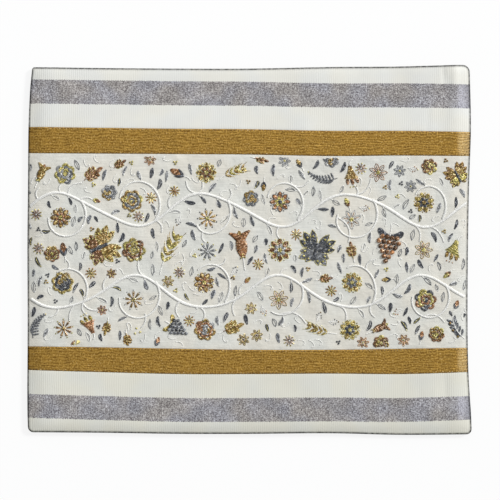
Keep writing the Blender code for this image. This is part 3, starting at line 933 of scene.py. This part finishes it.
def growVines():
    paths, middles = [], []
    for which, side in (("upper", 1), ("lower", -1)):
        paths.append([vineAt(x, which, side) for x in np.arange(*vine["run"])])
        cordStitch(paths[-1], lambda t: vine["half"] * (1 + 0.12 * sin(t * 40)))
        for k in range(-1, 7):
            x = vine["shift"] + vine["period"] * k / 2
            bay = -side if k % 2 == 0 else side
            middle = vineAt(x, which, side) + complex(dice.uniform(-2, 2), bay * vine["bay"])
            away = vineAt(x + vine["period"] * vine["rootAt"], which, side) - middle
            branch, turns = [], dice.uniform(*vine["turns"])
            windsTo, oval = vine["windsTo"] * dice.uniform(0.9, 1.15), radians(dice.uniform(0, 360))
            for t in np.linspace(0, 1, vine["branchSteps"]):
                still = (1 - t) ** 1.2
                far = abs(away) * still + windsTo * (1 - still)
                far *= 1 + 0.07 * sin(oval + 5 * t)
                branch.append(middle + turned(degrees(cmath.phase(away)) + bay * turns * t, far))
            cordStitch(branch, lambda t: vine["branchHalf"] * (1.1 - 0.5 * t))
            paths.append(branch)
            if abs(middle.real) < vine["lastFlower"]:
                middles.append(middle)
    return paths, middles


def joinStems(paths):
    # a bowed stem from each flower to a vine, clear of the other flowers
    spots = [at for path in paths for at in path if abs(at.real) < scatter["reachX"] - 2]
    bodies = [(complex(*row[:2]), row[3]) for row in placed]
    near, far = vine["stemReach"]
    for (at, radius), row in zip(bodies, placed):
        roots = [spot for spot in spots if near < abs(spot - at) - radius < far]
        for _ in range(vine["stemTries"] if roots and row[2] is not butterfly else 0):
            root = dice.choice(roots)
            stem = bend(at + (root - at) / abs(root - at) * radius, root, dice.choice((0.22, -0.22)))
            gaps = [abs(spot - body) - reach for spot in stem for body, reach in bodies if body != at]
            if min(gaps) > vine["stemClear"]:
                satin("white", stem, lambda t: 0.5 + 0.3 * t, 30, 0.85)
                break


def hasRoom(spots, gap, places):
    return all(scatter["low"] < spot.imag < scatter["high"] and np.abs(places - spot).min() > radius + gap
               for spot, radius in spots)


def sewLeaf(start, end):
    half, bulge = dice.uniform(*scatter["leafHalf"]), dice.uniform(-0.16, 0.16)
    if dice.random() < scatter["outlined"]:
        # an open leaf: its outline and a vein
        ink, vein = dice.choice(("silver", "steel", "pearl")), dice.choice(("slate", "steel"))
        for side in (1, -1):
            line(ink, bend(start, end, side * half / abs(end - start) + bulge * 0.5), 0.5, 1.5)
        line(vein, bend(start, start + (end - start) * 0.85, bulge), 0.42, 1.6)
        return
    ink, vein = dice.choice(scatter["leafInks"])
    leaf(ink, start, end, half, bulge, vein)
    if dice.random() < scatter["edged"]:
        side = dice.choice((1, -1))
        line("white", bend(start, end, bulge + side * (half + 0.35) / abs(end - start)), 0.45, 2.0)


def sprout(paths):
    # twigs and leaves that leave the vines on alternate sides
    side = 1
    for path in paths:
        for t, at, way in list(evenly(path, vine["twigEvery"]))[1:]:
            side = -side
            heading = way * turned(side * dice.uniform(*vine["twigLean"]))
            reach = dice.uniform(*vine["twigReach"])
            twig = bend(at + heading * 1.2, at + heading * turned(-side * 14) * reach, 0.16 * side)
            spots = [(spot, 1.3) for spot in twig[5:]] + [(twig[-1] + heading * 4, 4.2)]
            if hasRoom(spots, 0.6, np.array(sewn)):
                satin("white", twig, lambda t: 0.85 - 0.4 * t, 30, 0.9)
                end = twig[-1] - twig[-3]
                motif = dice.choice((bud, starFlower, tripleDot, daisy, bud))
                at, turn = twig[-1] + end / abs(end) * vine["flower"], degrees(cmath.phase(end))
                draw(motif, at, vine["flower"], turn, dice.choice(vine["twigColours"]))
        for t, at, way in evenly(path, vine["leafEvery"]):
            side = -side
            heading = way * turned(side * dice.uniform(*vine["leafLean"]))
            base, length = at + heading * 2.5, dice.uniform(*scatter["leafLength"])
            if hasRoom([(base + heading * length * s, 1.5) for s in (0.3, 0.65, 1.0)], 0.7, np.array(sewn)):
                sewLeaf(base, base + heading * length)
                line("white", [at, base], 0.7)


# Motifs placed one by one: x, y, what, radius, turn and colours
placed = [
    (-122, 2, butterfly, 16, 24, "gold copper yellow"), (-64, -2, wheatEar, 18, 64, "ochre yellow gold"),
    (-6, 1, tulip, 15.5, 98, "rust gold yellow"), (54, -1, butterfly, 15.5, 74, "slate steel yellow"),
    (113, 2, grapes, 13.5, 80, "copper rust slate"), (167, 1, bellFlower, 10, 250, "yellow gold copper"),
    (-94, 0, rosette, 8.6, 10, "ochre copper yellow"), (-151, -1, bud, 7, 95, "copper slate gold"),
    (-34, -1, starFlower, 7.2, 8, "slate silver yellow"), (25, 0, medallion, 9.2, 0, "copper silver yellow"),
    (84, -1, spray, 8, 100, "copper gold yellow"), (142, 0, daisy, 7.5, 0, "gold rust yellow"),
    (-170, 61, tulip, 10, 66, "gold rust yellow"), (-150, 62, rosette, 7.6, 0, "silver steel yellow"),
    (-128, 61, spray, 10.5, 35, "copper rust ochre"), (-35, 63, medallion, 8, 0, "gold copper yellow"),
    (-57, 62, bud, 8, 150, "rust slate gold"), (-13, 62, wheatEar, 12.5, 22, "yellow gold ochre"),
    (83, 62, bellFlower, 9.5, 280, "gold copper yellow"), (60, 61, fern, 12, 168, "steel slate yellow"),
    (105, 63, daisy, 7.6, 0, "copper rust yellow"), (170, 60, butterfly, 10.5, 118, "gold yellow copper"),
    (-151, -64, starFlower, 7.6, 12, "copper gold yellow"), (-171, -62, fern, 11, 62, "steel slate gold"),
    (-130, -62, bellFlower, 9.2, 118, "rust ochre yellow"), (-36, -65, rosette, 7.8, 0, "gold rust silver"),
    (-58, -64, grapes, 9.5, 150, "steel slate ochre"), (-14, -64, spray, 10.5, 20, "gold copper yellow"),
    (82, -65, medallion, 8, 20, "ochre slate yellow"), (58, -64, wheatEar, 12.5, 162, "gold ochre yellow"),
    (105, -64, tulip, 9.5, 25, "copper yellow gold"), (170, -62, oliveSprig, 11.5, 118, "slate steel gold"),
]
# Motifs that fill the ground between them: what, how many, radius, and their colours
fillers = [
    (spray, 5, 6.8, ("copper rust yellow", "gold ochre copper")),
    (rosette, 7, 5.8, ("copper gold yellow", "silver steel gold")),
    (daisy, 10, 5.0, ("gold yellow copper", "steel silver yellow", "rust gold yellow")),
    (bud, 10, 4.8, ("gold slate yellow", "rust steel gold", "yellow copper gold")),
    (starFlower, 12, 4.2, ("gold yellow rust", "copper silver yellow")),
    (berries, 8, 4.2, ("rust yellow gold", "slate gold gold")),
    (tripleDot, 24, 1.9, ("gold gold gold", "slate slate slate", "yellow gold gold")),
]


def findRoom(spots, turns=(0, 360)):
    # a place and turn where each spot of a motif is clear of all that is sewn
    places = np.array(sewn)
    for _ in range(scatter["tries"]):
        x = dice.uniform(-scatter["reachX"], scatter["reachX"])
        at, turn = complex(x, dice.uniform(scatter["low"], scatter["high"])), dice.uniform(*turns)
        if hasRoom([(at + turned(turn) * spot, radius) for spot, radius in spots], scatter["gap"], places):
            yield at, turn
            return


def tendril(at, heading, curl):
    # a thin stem that sets out one way and curls up at its end
    path, reach, count = [at], scatter["tendrilReach"], scatter["tendrilSteps"]
    for k in range(count):
        path.append(path[-1] + turned(heading, reach / count * (1.35 - 0.03 * k)))
        heading += curl * (2 + 22 * (k / count) ** 2) * 14 / reach * 1.6
    line("white", path, 0.6, 2.0)


def fillGround():
    for motif, count, radius, colours in fillers:
        for k in range(count):
            for at, turn in findRoom([(0, radius)]):
                draw(motif, at, radius, turn, colours[k % len(colours)])
    for k in range(scatter["leaves"]):
        length = dice.uniform(*scatter["leafLength"])
        for at, turn in findRoom([(t * length, 1.5) for t in (0.0, 0.35, 0.7, 1.0)], scatter["leafTurn"]):
            sewLeaf(at, at + turned(turn, length))
    for k in range(scatter["tendrils"]):
        for at, turn in findRoom([(0, 1.0), (3.5, 1.4), (7, 2.0)]):
            tendril(at, turn, dice.choice((1, -1)))


# One strand, 1 long, 1 wide and 1 high, whose pinched ends dip into the cloth
strandShape = dict(sides=5, cuts=(-0.3, 0.3), endsFrom=0.45, pinch=(1, 0.45, 0.4), dipsTo=(0, 0, -0.35))


def modelStrand():
    rod = dict(vertices=strandShape["sides"], radius=0.5, depth=1, rotation=(0, pi / 2, 0))
    strand = newShape(bpy.ops.mesh.primitive_cylinder_add, "strand", **rod)
    bpy.ops.object.transform_apply(location=True, rotation=True, scale=True)
    for x in strandShape["cuts"]:
        editAll(lambda: bpy.ops.mesh.bisect(plane_co=(x, 0, 0), plane_no=(1, 0, 0)))
    editAll(lambda: bpy.ops.mesh.select_all(action="DESELECT"))
    for vertex in strand.data.vertices:
        vertex.select = abs(vertex.co.x) > strandShape["endsFrom"]
    bpy.ops.object.mode_set(mode="EDIT")
    bpy.ops.transform.resize(value=strandShape["pinch"], center_override=strandShape["dipsTo"])
    bpy.ops.object.mode_set(mode="OBJECT")
    bpy.ops.object.shade_smooth()
    return strand


def layCopies(name, shape, places, turns, sizes, values=()):
    # a copy of the shape on every place, turned and sized by geometry nodes
    mesh = bpy.data.meshes.new(name)
    mesh.vertices.add(len(places))
    mesh.vertices.foreach_set("co", (places * mm).ravel())
    paint(mesh, "turn", turns, "FLOAT_VECTOR", "vector")
    paint(mesh, "size", sizes * mm, "FLOAT_VECTOR", "vector")
    for label, row in values:
        paint(mesh, label, row)
    group = bpy.data.node_groups.new(name + "Layer", "GeometryNodeTree")
    for way in ("INPUT", "OUTPUT"):
        group.interface.new_socket("Geometry", in_out=way, socket_type="NodeSocketGeometry")
    n = Bench(group)
    points, info = n.add("NodeGroupInput").outputs[0], n.add("GeometryNodeObjectInfo", {"Object": shape})
    turn, size = [n.add("GeometryNodeInputNamedAttribute", {"Name": label}, data_type="FLOAT_VECTOR")
                  .outputs["Attribute"] for label in ("turn", "size")]
    turn = n.add("FunctionNodeEulerToRotation", {0: turn}).outputs[0]
    lay = n.add("GeometryNodeInstanceOnPoints", {"Points": points, "Instance": info.outputs["Geometry"],
                                                 "Rotation": turn, "Scale": size})
    real = n.add("GeometryNodeRealizeInstances", {0: lay.outputs[0]})
    n.add("NodeGroupOutput", {0: real.outputs[0]})
    piece = newPiece(name, mesh)
    piece.modifiers.new("copies", "NODES").node_group = group
    bpy.ops.object.modifier_apply(modifier="copies")
    return piece


def clothAt(x, y):
    return frontHeights(x, y, inwardFrom(x, y))[0]


def onPanel(rows):
    keep = np.ones(len(rows), bool)
    for x, y in (rows[:, :2].T, rows[:, 2:4].T):
        keep &= (x > sideX("left", y) + thread["margin"]) & (x < sideX("right", y) - thread["margin"])
        keep &= (y > seamY(2, x) + thread["margin"]) & (y < seamY(3, x) - thread["margin"])
    return rows[keep]


def layStitches(name, rows, strand):
    startX, startY, endX, endY, width, height, lift, shade, tone = rows.T
    x, y, step = (startX + endX) / 2, (startY + endY) / 2, thread["slopeStep"]
    along = sideBySide(endX - startX, endY - startY, clothAt(endX, endY) - clothAt(startX, startY))
    length = np.linalg.norm(along, axis=1, keepdims=True)
    along /= np.maximum(length, 1e-6)
    slopeX = clothAt(x - step, y) - clothAt(x + step, y)
    slopeY = clothAt(x, y - step) - clothAt(x, y + step)
    side = np.cross(sideBySide(slopeX, slopeY, np.full(len(x), 2 * step)), along)
    side /= np.linalg.norm(side, axis=1, keepdims=True)
    up = np.cross(along, side)
    heading = np.arctan2(along[:, 1], along[:, 0])
    turn = sideBySide(np.arctan2(side[:, 2], up[:, 2]), -np.arcsin(along[:, 2]), heading)
    places = sideBySide(x, y, clothAt(x, y)) + up * (lift + height * (0.5 - thread["sunk"]))[:, None]
    sizes = sideBySide(length[:, 0] + thread["tails"], width, height)
    return layCopies(name, strand, places, turn, sizes, (("shade", shade), ("tone", tone)))


def threadMaterial(name, row):
    n = newFinish(name, row["roughness"], row["sheen"], row["metallic"], 0.4)
    shade, tone = n.painted("shade"), n.painted("tone")
    glints = n.group("glints", Coords=n.place, Low=row["glint"][0], High=row["glint"][1])
    twist = n.scaled(n.along(1), 60.0, n.times(n.along(0), 12.0))
    strands = n.scaled(n.math("SINE", twist), 0.5, 0.5)
    # painted glints: the brightest facets turn to the pale colour
    bright = n.span(glints["Facet"], 0.74, 0.9, 0.0, row["sparkle"])
    colour = n.mix(bright, n.mix(shade, row["first"], row["second"]), row["pale"])
    # painted light: darker in the grooves of the twist, and each facet lighter or darker, times the stitch's
    # own tone
    lit = n.times(n.times(tone, n.span(strands, 0.0, 1.0, 0.82, 1.06)), glints["Tone"])
    return n.finish(n.toned(colour, lit), strands, 0.06)


bandEdge = dict(pitch=2.6, length=1.5, inset=0.9, width=0.42, height=0.5, reach=178, tone=(0.6, 1.0))


def bandStitches():
    # a row of small stitches along each side of the gold bands
    rows = []
    for seam, inset in ((1, 1), (2, -1), (3, 1), (4, -1)):
        for x in np.arange(-bandEdge["reach"], bandEdge["reach"], bandEdge["pitch"]):
            y, half = float(seamY(seam, x)) + inset * bandEdge["inset"], bandEdge["length"] / 2
            tone = dice.uniform(*bandEdge["tone"])
            looks = bandEdge["width"], bandEdge["height"], bag["goldProud"], 0.0, tone
            rows.append((x - half, y, x + half, y, *looks))
    return np.array(rows)


def embroider():
    paths, middles = growVines()
    makers, colours = (medallion, rosette, starFlower, medallion, daisy), vine["medallionColours"]
    for k, at in enumerate(middles):
        draw(makers[k % 5], at, vine["windsTo"] * vine["flowerShare"], 30 * k, colours[(k * 5 + k // 3) % 6])
    for x, y, motif, radius, turn, colours in placed:
        draw(motif, complex(x, y), radius, turn, colours)
    joinStems(paths)
    sprout(paths)
    fillGround()
    edges, strand = bandStitches(), modelStrand()
    for spool, rows in stitches.items():
        piece = layStitches(spool + "Stitches", onPanel(np.array(rows)), strand)
        slot = "gold_brocade" if spool == "gold" else "embroidered_silk"
        declare(piece, threadMaterial(spool + "Thread", spools[spool]), slot)
    declare(layStitches("bandStitches", edges, strand), bpy.data.materials["goldThread"], "gold_brocade")
    bpy.data.objects.remove(strand)


embroider()

# The zip, along the line that its coil has on the frame
zipLook = dict(pitch=0.78, tooth=(0.62, 1.5, 1.3), toothRound=0.2, offset=0.22, ends=1, spots=31, away=20,
               bevel=0.22, tabBevel=0.18,
               coil=(0.74, 0.73, 0.68, 1), tape=(0.70, 0.68, 0.61, 1), tapeShade=(0.56, 0.54, 0.48, 1),
               brass=(0.62, 0.43, 0.17, 1), tarnish=(0.36, 0.23, 0.08, 1))


def nylonMaterial():
    n = newFinish("coilNylon", 0.35, specular=0.5, onCloth=False)
    tone = n.group("tone", Size=6.0, Amount=0.06)["Tone"]
    return n.finish(n.toned(zipLook["coil"], tone), n.noise(2600.0), 0.03)


def tapeMaterial():
    n = newFinish("zipTapeWeave", 0.85, sheen=0.1, onCloth=False)
    weave, tone = n.group("weave", Warp=0.45, Weft=0.4), n.group("tone", Size=18.0, Amount=0.05)["Tone"]
    colour = n.mix(weave["Thread"], zipLook["tape"], zipLook["tapeShade"])
    return n.finish(n.toned(colour, tone), weave["Height"], 0.08)


def brassMaterial():
    n = newFinish("zipBrass", 0.28, metallic=0.9, specular=0.5, onCloth=False)
    cloudy = n.noise(420.0, 4.0)
    n.tree.links.new(n.span(cloudy, 0.3, 0.8, 0.2, 0.5), n.shader.inputs["Roughness"])
    scratches = n.add("ShaderNodeMapping", {"Vector": n.coords, "Scale": (300.0, 4200.0, 4200.0)}).outputs[0]
    colour = n.mix(n.span(cloudy, 0.45, 0.72), zipLook["brass"], zipLook["tarnish"])
    return n.finish(colour, n.noise(1.0, 3.0, scratches), 0.012)


def modelTooth():
    # one loop of the coil, a bar across the line with rounded edges
    tooth = newShape(bpy.ops.mesh.primitive_cube_add, "tooth", size=1)
    editAll(lambda: bpy.ops.mesh.bevel(offset=zipLook["toothRound"], segments=1, affect="EDGES"))
    bpy.ops.object.shade_smooth()
    return tooth


def layCoil():
    low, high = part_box("zip_coil")
    tree, away = nodeTree("zip_coil"), zipLook["away"] * mm
    spots = np.linspace(low.x / mm + zipLook["ends"], high.x / mm - zipLook["ends"], zipLook["spots"])
    middleY = (outermost(tree, spots, 0, 1) + outermost(tree, spots, 0, -1)) / 2
    middleZ = []
    for x, y in zip(spots, middleY):
        top, foot = [tree.ray_cast(Vector((x * mm, y * mm, z)), Vector((0, 0, -z)))[0] for z in (away, -away)]
        middleZ.append((top.z + foot.z) / 2 / mm)
    at = np.arange(spots[0], spots[-1], zipLook["pitch"])
    y, z = np.interp(at, spots, middleY), np.interp(at, spots, middleZ)
    turn = np.arctan2(np.gradient(y), np.gradient(at))
    side = np.where(np.arange(len(at)) % 2, 1, -1) * zipLook["offset"]
    tooth = modelTooth()
    turns, sizes = sideBySide(0 * at, 0 * at, turn), np.tile(zipLook["tooth"], (len(at), 1))
    piece = layCopies("coilTeeth", tooth, sideBySide(at, y + side, z), turns, sizes)
    declare(piece, nylonMaterial(), "zip_coil", "zip_coil")
    bpy.data.objects.remove(tooth)


def softenedCopy(node, name, width, material, body):
    # a copy of a metal piece, merged and with its edges rounded
    piece = newPiece(name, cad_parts[node].data.copy())
    editAll(lambda: bpy.ops.mesh.remove_doubles(threshold=1e-6),
            lambda: bpy.ops.mesh.dissolve_limited(angle_limit=radians(1)))
    modifier = piece.modifiers.new("rounded", "BEVEL")
    modifier.width, modifier.segments, modifier.angle_limit = width * mm, 2, radians(35)
    bpy.ops.object.modifier_apply(modifier="rounded")
    bpy.ops.object.shade_smooth_by_angle(angle=radians(40))
    declare(piece, material, "zip_metal", node, body)


layCoil()
for node in ("zip_tape_front", "zip_tape_back"):
    dress(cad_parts[node], tapeMaterial())
brass = brassMaterial()
softenedCopy("zip_slider", "slider", zipLook["bevel"], brass, "bag")
softenedCopy("zip_pull_tab", "pullTab", zipLook["tabBevel"], brass, "pull_tab")

# The view of the photograph: straight down, from far off
view = dict(width=407.25, place=(0.65, 0.0, 2500), sensor=36.0, reach=20000)


def setCamera():
    bpy.ops.object.camera_add(location=[v * mm for v in view["place"]], rotation=(0, 0, 0))
    camera = bpy.context.object
    camera.data.sensor_width = view["sensor"]
    camera.data.lens = view["sensor"] * (view["place"][2] - bag["height"]) / view["width"]
    camera.data.clip_end = view["reach"] * mm
    bpy.context.scene.camera = camera


floorLook = dict(size=6000, drop=0.05, seen=(0.985, 0.985, 0.985, 1), lit=(0.42, 0.42, 0.42, 1), shadow=0.12)


def setFloor():
    # white where it is seen, and greyer for the light that it throws back
    plane = dict(size=floorLook["size"] * mm, location=(0, 0, -floorLook["drop"] * mm))
    floor = newShape(bpy.ops.mesh.primitive_plane_add, "floor", **plane)
    n = newFinish("paperFloor", 0.9, specular=0.5)
    n.shader.inputs["Base Color"].default_value = floorLook["lit"]
    white = n.add("ShaderNodeBsdfDiffuse", {"Color": floorLook["seen"]}).outputs[0]
    glow = n.add("ShaderNodeEmission", {"Color": floorLook["seen"]}).outputs[0]
    seen = n.add("ShaderNodeMixShader", {0: floorLook["shadow"], 1: glow, 2: white}).outputs[0]
    camera = n.add("ShaderNodeLightPath").outputs["Is Camera Ray"]
    mixed = n.add("ShaderNodeMixShader", {0: camera, 1: n.shader.outputs[0], 2: seen}).outputs[0]
    n.tree.links.new(mixed, n.tree.nodes["Material Output"].inputs[0])
    floor.data.materials.append(n.material)
    floor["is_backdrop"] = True


# Light from the right and a little from the top, low enough to draw the slopes
lights = dict(
    sky=(0.95, 0.98, 1.0, 1), skyStrength=0.32, keyEnergy=3.1, keyAngle=14, keyTilt=57, keyTowards=119,
    topPower=4.6, topSize=900, topPlace=(100, 1000, 750),
)


def setLights():
    world = bpy.data.worlds.new("studio")
    bpy.context.scene.world = world
    world.use_nodes = True
    background = world.node_tree.nodes["Background"].inputs
    background["Color"].default_value = lights["sky"]
    background["Strength"].default_value = lights["skyStrength"]
    turn = (radians(lights["keyTilt"]), 0, radians(lights["keyTowards"]))
    bpy.ops.object.light_add(type="SUN", rotation=turn)
    key = bpy.context.object.data
    key.energy, key.angle = lights["keyEnergy"], radians(lights["keyAngle"])
    place = [edge * mm for edge in lights["topPlace"]]
    turn = Vector(place).to_track_quat("Z", "Y").to_euler()
    bpy.ops.object.light_add(type="AREA", location=place, rotation=turn)
    top = bpy.context.object.data
    top.energy, top.size = lights["topPower"], lights["topSize"] * mm
    bpy.context.scene.view_settings.view_transform = "Standard"


setCamera()
setFloor()
setLights()
sizes = {"cad": cadBounds, "visual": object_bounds()}
{name: [list(map(float, corner)) for corner in box] for name, box in sizes.items()}
